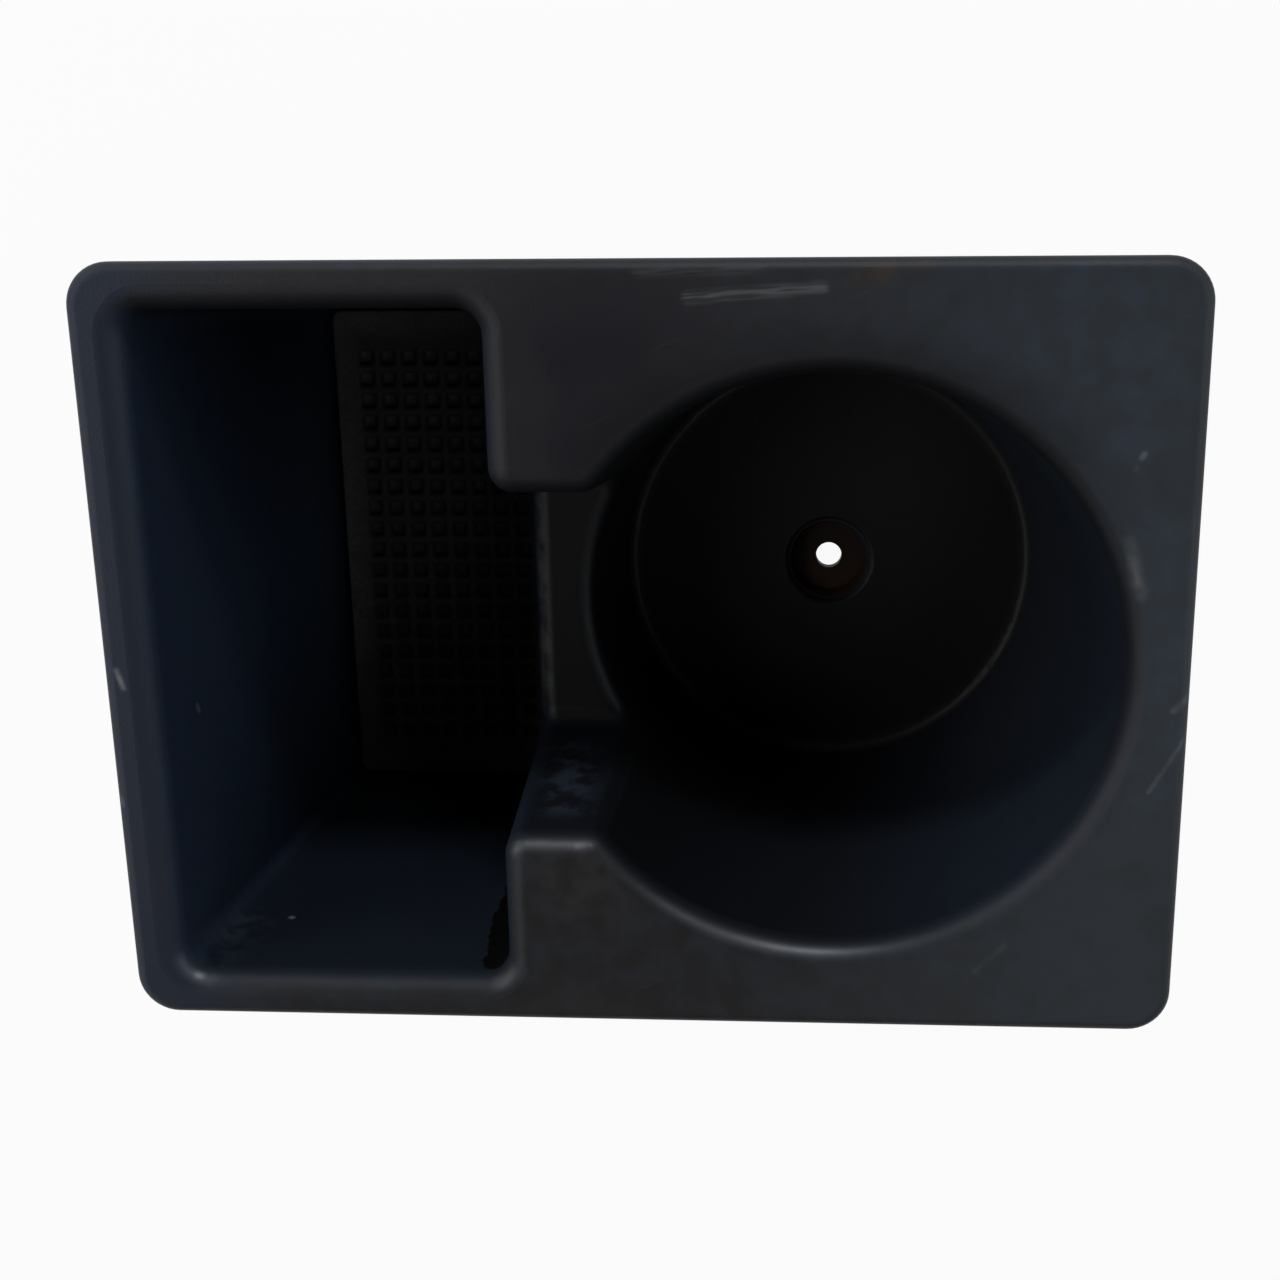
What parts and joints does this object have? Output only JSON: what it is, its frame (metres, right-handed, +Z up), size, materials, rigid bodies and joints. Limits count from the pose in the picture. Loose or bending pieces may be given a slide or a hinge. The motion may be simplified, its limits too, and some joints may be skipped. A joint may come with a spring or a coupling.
{
  "type": "car cup holder",
  "caption": "Moulded console tray with a tapered cup well, an oblong pocket joined to it by a handle notch, a sunk screw seat in the cup's floor and a waffle rubber mat in the pocket.",
  "frame": {"origin": "middle of the plate's outline, on the plane that the tray stands on", "axes": "+X from the pocket to the cup along the long side, +Y towards the plate's back edge, +Z up out of the cup"},
  "size_m": [0.1512, 0.1086, 0.0885],
  "materials": {
    "tray_plastic": "fine-grained charcoal plastic with worn edges",
    "mat_rubber": "matt black rubber"
  },
  "bodies": {
    "root": {"console_tray": "tray_plastic", "pocket_mat": "mat_rubber"}
  },
  "joints": []
}
